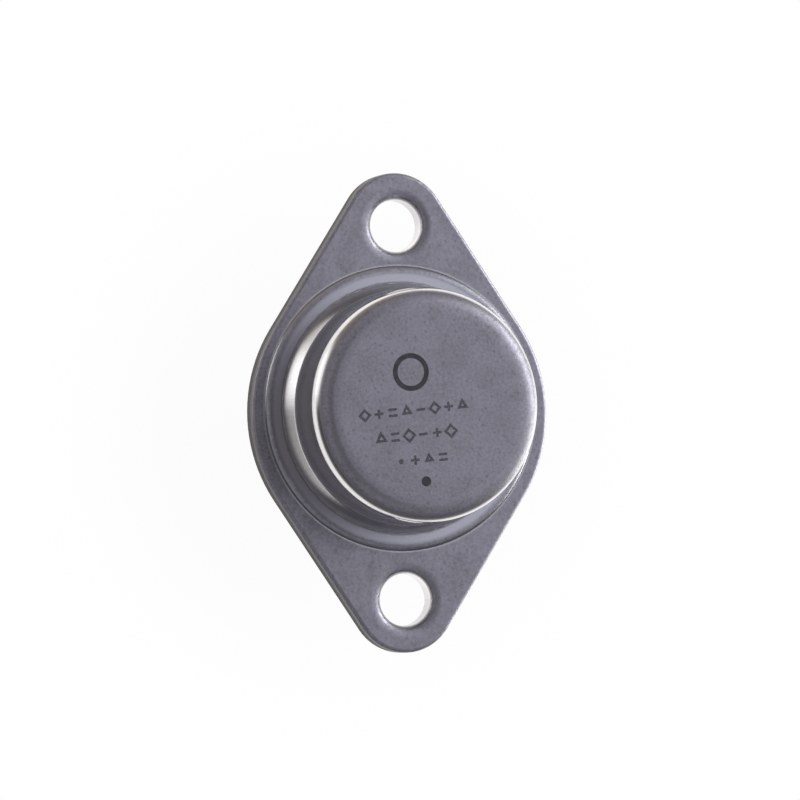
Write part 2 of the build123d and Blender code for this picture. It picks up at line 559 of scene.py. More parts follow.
@dataclass(frozen=True)
class Nickel:
    """Nickel plate over steel in its states: matte as plated, stretched by a tool, and ironed in a die."""

    matte: Tone = Tone((0.251, 0.241, 0.261), (0.175, 0.168, 0.183), 0.46)
    stretched: Tone = Tone((0.229, 0.221, 0.23), (0.193, 0.187, 0.193), 0.42)
    ironed: Tone = Tone((0.496, 0.488, 0.496), (0.424, 0.416, 0.416), 0.14)
    grain_size: float = 0.25 * MM
    cloud_size: float = 2.4 * MM
    scratch_width: float = 0.035 * MM

    def as_plated(self, graph: Graph) -> Coat:
        """The matte state, with speckle, pits, clouds and a few scratches.

        Args:
            graph: the material's graph.

        Returns:
            The first layer.
        """
        grain = place_effect(graph, Effect.GRAIN, Size=self.grain_size, Cloud_Size=self.cloud_size)
        scuff = place_effect(graph, Effect.SCUFF, Width=self.scratch_width)
        specks = graph.math("MULTIPLY", grain.outputs["Speckle"], 0.75)
        dark = graph.math("MULTIPLY_ADD", grain.outputs["Cloud"], 0.35, specks)
        dark = graph.math("SUBTRACT", dark, 0.15)
        dark = graph.math("MULTIPLY_ADD", grain.outputs["Pits"], 0.5, dark, clamp=True)
        colour = graph.mix(dark, self.matte.colour, self.matte.shade)
        colour = graph.mix(graph.math("MULTIPLY", scuff.outputs["Mask"], 0.6), colour, self.stretched.colour)
        spread = graph.math("MULTIPLY_ADD", grain.outputs["Cloud"], 0.08, self.matte.roughness - 0.07)
        roughness = graph.math("MULTIPLY_ADD", grain.outputs["Speckle"], 0.06, spread)
        roughness = graph.math("MULTIPLY_ADD", scuff.outputs["Mask"], -0.12, roughness)
        relief = graph.math("MULTIPLY", grain.outputs["Height"], 5.0)
        relief = graph.math("MULTIPLY_ADD", scuff.outputs["Mask"], -0.8, relief)
        return Coat(graph, colour, roughness, relief)

    def worked(
        self, graph: Graph, tone: Tone, turned: bpy.types.Node, line_width: float
    ) -> tuple[Socket, ...]:
        """A tooled state, with the tools' lines in it.

        Args:
            graph: the material's graph.
            tone: the tooled state's tone.
            turned: the placed turned coordinates.
            line_width: width of a drawing line, in metres.

        Returns:
            The sockets of colour, roughness and relief.
        """
        lines = place_effect(
            graph, Effect.DRAWN, Around=turned.outputs["Around"], Radius=turned.outputs["Radius"],
            Height=turned.outputs["Height"], Width=line_width,
        ).outputs["Lines"]
        cloud = place_effect(graph, Effect.GRAIN, Size=0.4 * self.grain_size, Cloud_Size=1.5 * MM)
        colour = graph.mix(graph.smooth(lines, 0.4, 1.0, 0.0, 0.8), tone.colour, tone.shade)
        spread = graph.math("MULTIPLY_ADD", lines, 0.06, tone.roughness - 0.04)
        roughness = graph.math("MULTIPLY_ADD", cloud.outputs["Cloud"], 0.04, spread)
        fine = graph.math("MULTIPLY", cloud.outputs["Height"], 0.25)
        relief = graph.math("MULTIPLY_ADD", lines, 0.35, fine)
        return colour, roughness, relief


@dataclass(frozen=True)
class CapPlate:
    """The cap's plating: matte on the flat top, burnished on the shoulder and wall, dulled at the weld."""

    name: str = "cap_plate"
    nickel: Nickel = Nickel()
    heat_tint: Tone = Tone((0.257, 0.239, 0.229), (0.071, 0.064, 0.064), 0.38)
    ironed_start: float = 8.9 * MM
    ironed_full: float = 9.16 * MM
    flare_roughness: float = 0.22
    flare_height: float = 1.5 * MM
    flare_fade: float = 0.35 * MM
    weld_height: float = 0.28 * MM

    def material(self, layout: Layout) -> bpy.types.Material:
        """Builds the finish as a material.

        Args:
            layout: where the can stands.

        Returns:
            The material.
        """
        material, graph, shader = start_material(self.name)
        turned = place_effect(graph, Effect.TURNED, Centre=layout.centre)
        coat = self.nickel.as_plated(graph)
        iron = graph.smooth(turned.outputs["Radius"], self.ironed_start, self.ironed_full)
        coat.lay(iron, *self.nickel.worked(graph, self.nickel.ironed, turned, 0.09 * MM))
        over = graph.math("SUBTRACT", turned.outputs["Height"], layout.seat + self.flare_height)
        flare = graph.smooth(over, -self.flare_fade, self.flare_fade, 1.0, 0.0)
        coat.roughness = graph.blend(flare, coat.roughness, self.flare_roughness)
        uneven = graph.noise(graph.place(), 1800.0, 3.0, 0.6)
        reach = graph.math("MULTIPLY_ADD", uneven, -self.weld_height, turned.outputs["Height"])
        seam = graph.smooth(reach, layout.seat - 0.16 * MM, layout.seat + 0.06 * MM, 0.8, 0.0)
        crust = graph.math("MULTIPLY", uneven, 9.0)
        coat.lay(seam, self.heat_tint.colour, self.heat_tint.roughness, crust)
        coat.finish(shader)
        return material


@dataclass(frozen=True)
class BasePlate:
    """The base's plating: matte flange, brighter platform, rolled hole edges, sheared sides painted dark as
    painted shade, and hole bores painted near-white as a painted reflection of the floor.
    """

    name: str = "base_plate"
    nickel: Nickel = Nickel(matte=Tone((0.27, 0.26, 0.281), (0.188, 0.18, 0.197), 0.46))
    seat_tone: Tone = Tone((0.45, 0.439, 0.475), (0.357, 0.35, 0.379), 0.42)
    weld_tone: Tone = Tone((0.314, 0.304, 0.314), (0.193, 0.186, 0.189), 0.42)
    # Dark tone of the torn part, also laid over the whole side band as painted shade.
    torn_and_side_shade_tone: Tone = Tone((0.082, 0.077, 0.076), (0.043, 0.04, 0.039), 0.72)
    torn_metallic: float = 0.25
    band_roughness: float = 0.5
    # Near-white bore colour: painted reflection of the white floor in the holes' walls.
    bore_painted_reflection_tone: Tone = Tone((0.84, 0.825, 0.83), (0.7, 0.685, 0.69), 0.2)
    drawn_width: float = 0.95 * MM
    drawn_depth: float = 0.175 * MM
    seat_reach: float = 10.68 * MM
    rim_start: float = 11.33 * MM
    rim_reach: float = 11.58 * MM
    weld_reach: float = 0.22 * MM
    seat_fade: float = 0.42 * MM
    side_height: float = 1.38 * MM
    break_height: float = 0.95 * MM

    def hole_distance(self, graph: Graph, layout: Layout) -> Socket:
        """Distance from the axis of the nearer mounting hole.

        Args:
            graph: the material's graph.
            layout: where the holes are.

        Returns:
            The distance's socket, in metres.
        """
        x, y, _ = graph.split(graph.place())
        along = graph.math("SUBTRACT", graph.math("ABSOLUTE", y), layout.hole_offset)
        return graph.length(x, along)

    def material(self, layout: Layout) -> bpy.types.Material:
        """Builds the finish as a material.

        Args:
            layout: where the can and the holes are.

        Returns:
            The material.
        """
        material, graph, shader = start_material(self.name)
        turned = place_effect(graph, Effect.TURNED, Centre=layout.centre)
        radius, height = turned.outputs["Radius"], turned.outputs["Height"]
        coat = self.nickel.as_plated(graph)
        bright = self.nickel.worked(graph, self.nickel.ironed, turned, 0.12 * MM)
        upper = graph.smooth(height, 1.0 * MM, 1.3 * MM)
        fleck = graph.noise(graph.place(), 5200.0, 3.0, 0.65)

        rim = graph.ring(radius, self.rim_start, self.rim_reach, 0.1 * MM)
        coat.lay(graph.math("MULTIPLY", rim, graph.math("MULTIPLY", upper, 0.75)), *bright)
        inside = graph.smooth(radius, self.seat_reach, self.seat_reach + self.seat_fade, 1.0, 0.0)
        seat = graph.math("MULTIPLY", inside, upper)
        seat_colour = graph.mix(fleck, self.seat_tone.colour, self.seat_tone.shade)
        coat.lay(seat, seat_colour, self.seat_tone.roughness, graph.math("MULTIPLY", fleck, 2.5))

        wander = graph.noise(graph.place(), 1500.0, 4.0, 0.65)
        seam_edge = graph.math("MULTIPLY_ADD", wander, self.weld_reach, layout.foot_radius)
        past = graph.math("SUBTRACT", radius, seam_edge)
        seam = graph.math("MULTIPLY", graph.smooth(past, 0.02 * MM, 0.14 * MM, 0.9, 0.0), upper)
        seam_colour = graph.mix(fleck, self.weld_tone.colour, self.weld_tone.shade)
        coat.lay(seam, seam_colour, self.weld_tone.roughness, graph.math("MULTIPLY", wander, 12.0))

        hole = self.hole_distance(graph, layout)
        roll = graph.smooth(hole, HOLE_RADIUS + 0.06 * MM, HOLE_RADIUS + 0.16 * MM, 0.9, 0.0)
        coat.lay(roll, *bright)
        slope, start = -1 / self.drawn_width, 1 + HOLE_RADIUS / self.drawn_width
        near = graph.math("MULTIPLY_ADD", hole, slope, start, clamp=True)
        bowl = graph.math("MULTIPLY", near, near)
        drawn = graph.math("MULTIPLY", bowl, -self.drawn_depth / MICROMETRE)

        shear = place_effect(graph, Effect.SHEAR, Height=height, Break=self.break_height)
        slope = graph.add("ShaderNodeNewGeometry").outputs["Normal"]
        _, _, lean = graph.split(slope)
        upright = graph.smooth(graph.math("ABSOLUTE", lean), 0.3, 0.75, 1.0, 0.0)
        under = graph.smooth(height, self.side_height, self.side_height + 0.1 * MM, 1.0, 0.0)
        side = graph.math("MULTIPLY", upright, under)
        grooves = shear.outputs["Grooves"]
        # The side band is painted mostly in the torn tone: painted shade on the flange's sides that holds
        # back the bright floor they reflect. The duller torn part below it is the edge's own tone.
        side_painted_shade_colour = graph.mix(0.8, self.nickel.stretched.shade, self.torn_and_side_shade_tone.colour)
        coat.lay(side, side_painted_shade_colour, self.band_roughness, graph.math("MULTIPLY", grooves, 2.5))
        torn_colour = graph.mix(grooves, self.torn_and_side_shade_tone.colour, self.torn_and_side_shade_tone.shade)
        torn = graph.math("MULTIPLY", side, shear.outputs["Torn"])
        coat.lay(torn, torn_colour, self.torn_and_side_shade_tone.roughness, graph.math("MULTIPLY", grooves, 9.0))
        # The bores get a near-white colour: painted reflection of the floor that their walls face.
        bore = graph.smooth(hole, HOLE_RADIUS + 0.02 * MM, HOLE_RADIUS + 0.08 * MM, 0.92, 0.0)
        bore_painted_reflection_colour = graph.mix(grooves, self.bore_painted_reflection_tone.colour, self.bore_painted_reflection_tone.shade)
        coat.lay(bore, bore_painted_reflection_colour, self.bore_painted_reflection_tone.roughness, graph.math("MULTIPLY", grooves, 2.0))
        coat.relief = graph.math("ADD", coat.relief, drawn)
        coat.finish(shader)
        rough_metal = graph.math("MULTIPLY", torn, graph.math("SUBTRACT", 1.0, bore))
        graph.feed(shader.inputs["Metallic"], graph.blend(rough_metal, 1.0, self.torn_metallic))
        return material


@dataclass(frozen=True)
class LeadPlate:
    """The leads' plating, with lines along the wire and a duller tip."""

    name: str = "lead_plate"
    nickel: Nickel = Nickel(stretched=Tone((0.423, 0.408, 0.392), (0.338, 0.323, 0.308), 0.20))
    tip: float = 0.5 * MM

    def material(self, layout: Layout) -> bpy.types.Material:
        """Builds the finish as a material.

        Args:
            layout: where the can stands.

        Returns:
            The material.
        """
        material, graph, shader = start_material(self.name)
        turned = place_effect(graph, Effect.TURNED, Centre=layout.centre)
        coat = self.nickel.as_plated(graph)
        x, y, z = graph.split(graph.place())
        wire = graph.combine(x, y, graph.math("MULTIPLY", z, 0.03))
        lines = graph.noise(wire, 16000.0, 3.0, 0.6)
        tone = self.nickel.stretched
        colour = graph.mix(graph.smooth(lines, 0.35, 0.7), tone.colour, tone.shade)
        low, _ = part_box("lead_input")
        drawn = graph.smooth(turned.outputs["Height"], low.z + 0.3 * self.tip, low.z + 1.4 * self.tip)
        roughness = graph.math("MULTIPLY_ADD", lines, 0.12, tone.roughness - 0.03)
        coat.lay(drawn, colour, roughness, graph.math("MULTIPLY", lines, 1.2))
        coat.finish(shader)
        return material


@dataclass(frozen=True)
class SealGlass:
    """Fused glass: dark, glossy, with small bubbles and a slight swirl."""

    name: str = "seal_glass"
    colour: Colour = (0.022, 0.045, 0.043)
    shade: Colour = (0.008, 0.014, 0.016)
    bubble_colour: Colour = (0.16, 0.21, 0.20)
    bubble_size: float = 0.16 * MM

    def material(self, layout: Layout) -> bpy.types.Material:
        """Builds the finish as a material.

        Args:
            layout: where the can stands; not used.

        Returns:
            The material.
        """
        material, graph, shader = start_material(self.name)
        grain = place_effect(graph, Effect.GRAIN, Size=self.bubble_size, Cloud_Size=0.9 * MM)
        colour = graph.mix(grain.outputs["Cloud"], self.colour, self.shade)
        colour = graph.mix(graph.math("MULTIPLY", grain.outputs["Pits"], 0.5), colour, self.bubble_colour)
        roughness = graph.math("MULTIPLY_ADD", grain.outputs["Pits"], 0.2, 0.06)
        coat = Coat(graph, colour, roughness, graph.math("MULTIPLY", grain.outputs["Height"], 3.0))
        coat.finish(shader, 0.0)
        shader.inputs["Coat Weight"].default_value = 0.6
        shader.inputs["Coat Roughness"].default_value = 0.05
        return material


@dataclass(frozen=True)
class Ink:
    """Marking ink, thin and a little uneven, so that the plating shows through it."""

    name: str
    colour: Colour
    cover: float

    def material(self) -> bpy.types.Material:
        """Builds the ink as a material."""
        material, graph, shader = start_material(self.name)
        grain = place_effect(graph, Effect.GRAIN, Size=0.09 * MM, Cloud_Size=0.7 * MM)
        pale = tuple(part + 0.02 for part in self.colour)
        colour = graph.mix(grain.outputs["Cloud"], self.colour, pale)
        roughness = graph.math("MULTIPLY_ADD", grain.outputs["Speckle"], 0.2, 0.45)
        coat = Coat(graph, colour, roughness, graph.math("MULTIPLY", grain.outputs["Height"], 3.0))
        coat.finish(shader, 0.0)
        thin = graph.math("MULTIPLY", grain.outputs["Speckle"], 2.0 * (1.0 - self.cover))
        graph.feed(shader.inputs["Alpha"], graph.math("SUBTRACT", 1.0, thin, clamp=True))
        return material


@dataclass(frozen=True)
class Inner:
    """A finish with grain and cloud for the weld's flash and for what is sealed inside the can."""

    name: str
    tone: Tone
    metallic: float
    grain_size: float
    depth: float = 1.5

    def material(self) -> bpy.types.Material:
        """Builds the finish as a material."""
        material, graph, shader = start_material(self.name)
        grain = place_effect(graph, Effect.GRAIN, Size=self.grain_size, Cloud_Size=8 * self.grain_size)
        cloud = graph.math("MULTIPLY", grain.outputs["Cloud"], 0.7)
        colour = graph.mix(cloud, self.tone.colour, self.tone.shade)
        roughness = graph.math("MULTIPLY_ADD", grain.outputs["Speckle"], 0.1, self.tone.roughness - 0.05)
        coat = Coat(graph, colour, roughness, graph.math("MULTIPLY", grain.outputs["Height"], self.depth))
        coat.finish(shader, self.metallic)
        return material


# ----------------------------------------------------------------------- studio


@dataclass(frozen=True)
class Glow:
    """A soft bright patch of the surroundings.

    The patch faces the object from a bearing, counted in degrees from +X towards +Y, and from a height
    angle, counted up from level. It is full within its core angle and has faded out at its rim angle.
    """

    bearing: float
    height: float
    core: float
    rim: float
    colour: Colour

    def axis(self) -> Vector:
        """Direction from the object to the middle of the patch."""
        bearing, height = math.radians(self.bearing), math.radians(self.height)
        level = math.cos(height)
        return Vector((level * math.cos(bearing), level * math.sin(bearing), math.sin(height)))

    def add_to(self, graph: Graph, direction: Socket, sky: Socket) -> Socket:
        """Adds the patch to the colour of the surroundings.

        Args:
            graph: the world's graph.
            direction: where a ray goes.
            sky: the colour so far.

        Returns:
            The colour with the patch added.
        """
        facing = graph.add("ShaderNodeVectorMath", operation="DOT_PRODUCT")
        graph.feed(facing.inputs[0], direction)
        facing.inputs[1].default_value = self.axis()
        rim, core = math.cos(math.radians(self.rim)), math.cos(math.radians(self.core))
        strength = graph.smooth(facing.outputs["Value"], rim, core)
        return graph.mix(strength, sky, self.colour, "ADD")


@dataclass
class Studio:
    """Pale floor, soft light from above and the right, and the camera."""

    tilt_right: float = -0.317
    tilt_up: float = -0.035
    roll: float = 0.026
    distance: float = 0.40
    pixels_per_metre: float = 12380.0
    frame_pixels: float = 800.0
    sensor: float = 36.0
    aim: tuple[float, float] = (395.0, 413.2)
    paper_core: float = 0.012
    paper_rim: float = 0.031
    paper_white: float = 0.94
    zenith: Colour = (0.06, 0.058, 0.06)
    upper: Colour = (0.711, 0.711, 0.797)
    horizon: Colour = (0.043, 0.043, 0.043)
    ground: Colour = (0.189, 0.186, 0.18)
    table: Colour = (1.667, 1.653, 1.638)
    glows: tuple[Glow, ...] = (
        Glow(21.0, 16.5, 1.0, 22.0, (8.845, 9.062, 9.425)),
        Glow(-9.0, -4.4, 1.0, 21.5, (8.918, 8.99, 9.062)),
        Glow(17.0, 54.0, 1.0, 25.0, (1.595, 1.667, 1.929)),
        Glow(60.0, 20.0, 1.0, 54.0, (0.232, 0.239, 0.268)),
        Glow(156.0, -9.8, 1.0, 25.5, (1.74, 1.74, 1.74)),
        Glow(102.0, -3.0, 12.0, 48.0, (0.268, 0.217, 0.16)),
        Glow(180.0, 69.0, 1.0, 25.0, (0.14, 0.115, 0.095)),
    )

    def camera(self) -> None:
        """Places the camera."""
        toward = Vector((self.tilt_right, self.tilt_up, 0.0))
        toward.z = math.sqrt(1.0 - toward.length_squared)
        level = Vector((toward.z, 0.0, -toward.x)).normalized()
        up = toward.cross(level)
        right = level * math.cos(self.roll) - up * math.sin(self.roll)
        above = level * math.sin(self.roll) + up * math.cos(self.roll)
        half = self.frame_pixels / 2
        shift = right * (half - self.aim[0]) + above * (self.aim[1] - half)
        data = bpy.data.cameras.new("camera")
        data.sensor_width = self.sensor
        data.lens = self.pixels_per_metre * self.distance * self.sensor / self.frame_pixels
        data.clip_start = 0.01
        data.clip_end = 20.0
        camera = bpy.data.objects.new("camera", data)
        turn = Matrix((right, above, toward)).transposed().to_4x4()
        turn.translation = toward * self.distance + shift / self.pixels_per_metre
        camera.matrix_world = turn
        bpy.context.scene.collection.objects.link(camera)
        bpy.context.scene.camera = camera

    def floor(self) -> None:
        """Makes the sheet of paper that the lead tips touch, which fades out at its rim."""
        low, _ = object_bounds()
        mesh = bpy.data.meshes.new("floor")
        sheet = bmesh.new()
        bmesh.ops.create_circle(sheet, cap_ends=True, segments=96, radius=1.1 * self.paper_rim)
        sheet.to_mesh(mesh)
        sheet.free()
        floor = bpy.data.objects.new("floor", mesh)
        floor.location.z = low.z
        bpy.context.scene.collection.objects.link(floor)
        material = bpy.data.materials.new("floor")
        material.use_nodes = True
        material.node_tree.nodes.clear()
        graph = Graph(material.node_tree)
        paper = graph.add("ShaderNodeBsdfDiffuse")
        paper.inputs["Color"].default_value = (0.9, 0.9, 0.9, 1.0)
        white = graph.add("ShaderNodeEmission")
        white.inputs["Color"].default_value = (1.0, 1.0, 1.0, 1.0)
        path = graph.add("ShaderNodeLightPath")
        seen = graph.math("ADD", path.outputs["Is Camera Ray"], path.outputs["Is Glossy Ray"], clamp=True)
        seen = graph.math("ADD", seen, path.outputs["Is Transmission Ray"], clamp=True)
        lit = graph.add("ShaderNodeMixShader")
        graph.feed(lit.inputs[0], graph.math("MULTIPLY", seen, self.paper_white))
        graph.feed(lit.inputs[1], paper.outputs[0])
        graph.feed(lit.inputs[2], white.outputs[0])
        x, y, _ = graph.split(graph.place())
        faded = graph.smooth(graph.length(x, y), self.paper_core, self.paper_rim)
        below = graph.add("ShaderNodeNewGeometry").outputs["Backfacing"]
        open_part = graph.add("ShaderNodeMixShader")
        clear = graph.add("ShaderNodeBsdfTransparent")
        graph.feed(open_part.inputs[0], graph.math("MAXIMUM", faded, below))
        graph.feed(open_part.inputs[1], lit.outputs[0])
        graph.feed(open_part.inputs[2], clear.outputs[0])
        output = graph.add("ShaderNodeOutputMaterial")
        graph.feed(output.inputs["Surface"], open_part.outputs[0])
        mesh.materials.append(material)
        floor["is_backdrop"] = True

    def world(self) -> None:
        """Soft surroundings: pale above, dim at the horizon, a lit table below, bright patches around."""
        world = bpy.data.worlds.new("studio")
        world.use_nodes = True
        world.node_tree.nodes.clear()
        graph = Graph(world.node_tree)
        direction = graph.add("ShaderNodeTexCoord").outputs["Generated"]
        _, _, z = graph.split(direction)
        sky = graph.mix(graph.smooth(z, 0.0, 0.75), self.horizon, self.upper)
        sky = graph.mix(graph.smooth(z, 0.75, 1.0), sky, self.zenith)
        sky = graph.mix(graph.smooth(z, -0.25, 0.15, 1.0, 0.0), sky, self.ground)
        sky = graph.mix(graph.smooth(z, -0.42, -0.2, 1.0, 0.0), sky, self.table)
        for glow in self.glows:
            sky = glow.add_to(graph, direction, sky)
        path = graph.add("ShaderNodeLightPath")
        background = graph.add("ShaderNodeBackground")
        graph.feed(background.inputs["Color"], graph.mix(path.outputs["Is Camera Ray"], sky, (1.0, 1.0, 1.0)))
        output = graph.add("ShaderNodeOutputWorld")
        graph.feed(output.inputs["Surface"], background.outputs[0])
        bpy.context.scene.world = world

    def build(self) -> None:
        """Makes camera, floor and surroundings."""
        self.camera()
        self.floor()
        self.world()
        bpy.context.scene.view_settings.view_transform = "Standard"


# ---------------------------------------------------------------- sub-assemblies


def add_piece(
    name: str, mesh: bmesh.types.BMesh, material: bpy.types.Material, smooth: bool
) -> bpy.types.Object:
    """Adds a mesh piece that rides with the part.

    Args:
        name: the piece's name.
        mesh: its geometry, in metres; it is freed.
        material: its finish.
        smooth: whether its faces are shaded smooth.

    Returns:
        The piece.
    """
    data = bpy.data.meshes.new(name)
    bmesh.ops.recalc_face_normals(mesh, faces=mesh.faces)
    for face in mesh.faces:
        face.smooth = smooth
    mesh.to_mesh(data)
    mesh.free()
    data.materials.append(material)
    piece = bpy.data.objects.new(name, data)
    bpy.context.scene.collection.objects.link(piece)
    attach(piece, "root")
    LOG.info("%s: %d faces", name, len(data.polygons))
    return piece


def apply(material: bpy.types.Material, *nodes: str) -> None:
    """Gives CAD nodes a material.

    Args:
        material: the material.
        nodes: names of CAD nodes.
    """
    for name in nodes:
        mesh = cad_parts[name].data
        mesh.materials.clear()
        mesh.materials.append(material)
        LOG.info("%s wears %s", name, material.name)


@dataclass
class Base:
    """Flange, leads and glass seals."""

    plate: BasePlate = BasePlate()
    lead_plate: LeadPlate = LeadPlate()
    glass: SealGlass = SealGlass()

    def build(self, layout: Layout) -> None:
        """Puts the finishes on."""
        apply(self.plate.material(layout), "base_flange")
        apply(self.lead_plate.material(layout), "lead_adjust", "lead_input")
        apply(self.glass.material(layout), "glass_seal_adjust", "glass_seal_input")


@dataclass(frozen=True)
class Corner:
    """One corner of a turned outline, with the round that it gets."""

    radius: float
    height: float
    rounding: float = 0.01 * MM


@dataclass
class Lathe:
    """Turns an outline of rounded corners about an upright axis."""

    corners: Sequence[Corner]
    turns: int = 288
    arc_steps: int = 30
    hold: float = 0.03 * MM

    def arc(self, before: Corner, corner: Corner, after: Corner) -> list[Vector]:
        """Points of one corner's round, from one tangent point to the other.

        Args:
            before: the corner before it.
            corner: the corner.
            after: the corner after it.

        Returns:
            The points, as radius and height.
        """
        tip = Vector((corner.radius, corner.height))
        back = (Vector((before.radius, before.height)) - tip).normalized()
        ahead = (Vector((after.radius, after.height)) - tip).normalized()
        half = back.angle(ahead) / 2
        middle = tip + (back + ahead).normalized() * corner.rounding / math.sin(half)
        start = tip + back * corner.rounding / math.tan(half) - middle
        end = tip + ahead * corner.rounding / math.tan(half) - middle
        swing = math.pi - 2 * half
        steps = max(3, round(self.arc_steps * min(1.0, corner.rounding / MM)))
        points = []
        for step in range(steps + 1):
            turned = step / steps * swing
            blended = start * math.sin(swing - turned) + end * math.sin(turned)
            points.append(middle + blended / math.sin(swing))
        return points

    def outline(self) -> list[Vector]:
        """The whole outline, with points held close to both ends of each straight run.

        Returns:
            The points, as radius and height.
        """
        points = [Vector((self.corners[0].radius, self.corners[0].height))]
        for before, corner, after in zip(self.corners, self.corners[1:], self.corners[2:]):
            points += self.arc(before, corner, after)
        points.append(Vector((self.corners[-1].radius, self.corners[-1].height)))
        held = [points[0]]
        for point, after in zip(points, points[1:]):
            run = after - point
            if run.length > 4 * self.hold:
                step = run.normalized() * self.hold
                if point.x > 0:
                    held.append(point + step)
                if after.x > 0:
                    held.append(after - step)
            held.append(after)
        return held

    def build(self, centre: Sequence[float]) -> bmesh.types.BMesh:
        """The turned solid's mesh.

        Args:
            centre: a point of its axis.

        Returns:
            The mesh.
        """
        mesh = bmesh.new()
        axis = Vector((centre[0], centre[1], 0.0))
        angles = [2 * math.pi * index / self.turns for index in range(self.turns)]
        spokes = [Vector((math.cos(angle), math.sin(angle), 0.0)) for angle in angles]
        rings = []
        for point in self.outline():
            level = axis + Vector((0.0, 0.0, point.y))
            places = [level + point.x * spoke for spoke in spokes] if point.x > 0.0 else [level]
            rings.append([mesh.verts.new(place) for place in places])
        for ring, after in zip(rings, rings[1:]):
            for index in range(self.turns):
                other = (index + 1) % self.turns
                near = [ring[index % len(ring)], ring[other % len(ring)]]
                far = [after[other % len(after)], after[index % len(after)]]
                mesh.faces.new(list(dict.fromkeys(near + far)))
        return mesh


@dataclass
class Cap:
    """The drawn cap and the flash that its weld pressed out."""

    plate: CapPlate = CapPlate()
    wall: float = 0.6 * MM
    shoulder: float = 1.5 * MM
    fall_start: float = 7.65 * MM
    fall_depth: float = 0.12 * MM
    fall_round: float = 9.6 * MM
    brim_width: float = 0.65 * MM
    brim_edge: float = 0.15 * MM
    brim_round: float = 0.06 * MM
    flare_height: float = 1.2 * MM
    flare_round: float = 1.0 * MM
    flash_radius: float = 0.075 * MM
    flash_swing: float = 0.5
    flash_waves: tuple[tuple[int, float], ...] = ((23, 0.4), (41, 1.9), (67, 3.1))
    flash_tone: Tone = Tone((0.346, 0.331, 0.331), (0.2, 0.192, 0.192), 0.33)
    flash_steps: int = 480
    flash_sides: int = 8

    def flash(self, layout: Layout) -> bmesh.types.BMesh:
        """A thin uneven bead round the foot of the cap.

        Args:
            layout: where the can stands.

        Returns:
            The bead's mesh.
        """
        bead = bmesh.new()
        centre = Vector(layout.centre)
        rows = []
        for step in range(self.flash_steps):
            turn = 2 * math.pi * step / self.flash_steps
            outward = Vector((math.cos(turn), math.sin(turn), 0.0))
            swell = sum(math.sin(count * turn + phase) for count, phase in self.flash_waves)
            size = self.flash_radius * (1.0 + self.flash_swing * swell / len(self.flash_waves))
            middle = centre + outward * (layout.foot_radius + 0.01 * MM) + Vector((0.0, 0.0, layout.seat))
            row = []
            for side in range(self.flash_sides):
                angle = 2 * math.pi * side / self.flash_sides
                around = outward * math.cos(angle) + Vector((0.0, 0.0, math.sin(angle)))
                row.append(bead.verts.new(middle + size * around))
            rows.append(row)
        for row, after in zip(rows, rows[1:] + rows[:1]):
            for side in range(self.flash_sides):
                other = (side + 1) % self.flash_sides
                bead.faces.new((row[side], after[side], after[other], row[other]))
        return bead

    def shell(self, layout: Layout) -> bmesh.types.BMesh:
        """The can itself: welded foot, flared skirt, straight wall, tight shoulder and flat top.

        Args:
            layout: where the can stands.

        Returns:
            The shell's mesh.
        """
        foot, seat, top = layout.foot_radius, layout.seat, layout.cap_top
        outer, brim_top = foot - self.brim_width, seat + self.brim_edge
        inner = outer - self.wall
        corners = (
            Corner(0.0, top),
            Corner(self.fall_start, top, self.fall_round),
            Corner(outer, top - self.fall_depth, self.shoulder),
            Corner(outer, brim_top + self.flare_height, self.flare_round),
            Corner(foot, brim_top, self.brim_round),
            Corner(foot, seat),
            Corner(foot - self.wall, seat),
            Corner(inner, seat + self.flare_height, self.flare_round),
            Corner(inner, top - self.wall, self.shoulder - self.wall),
            Corner(0.0, top - self.wall),
        )
        return Lathe(corners).build(layout.centre)

    def build(self, layout: Layout) -> None:
        """Turns the shell, puts the finish on and adds the weld's flash.

        Args:
            layout: where the can stands.
        """
        finish = self.plate.material(layout)
        apply(finish, "cap")
        shell = add_piece("cap_shell", self.shell(layout), finish, True)
        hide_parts("cap")
        flash = Inner("weld_flash", self.flash_tone, 1.0, 0.1 * MM, 2.0)
        add_piece("weld_flash", self.flash(layout), flash.material(), True)


class Sign(Enum):
    """The plain signs that stand in a row of the print: none of them is a letter or a figure."""

    CROSS = "cross"
    TWIN = "twin"
    DIAMOND = "diamond"
    WEDGE = "wedge"
    DASH = "dash"
    DOT = "dot"


@dataclass(frozen=True)
class Row:
    """A row of plain signs on the cap, by the place of its middle and its height, in metres."""

    middle: tuple[float, float]
    height: float
    signs: tuple[Sign, ...]


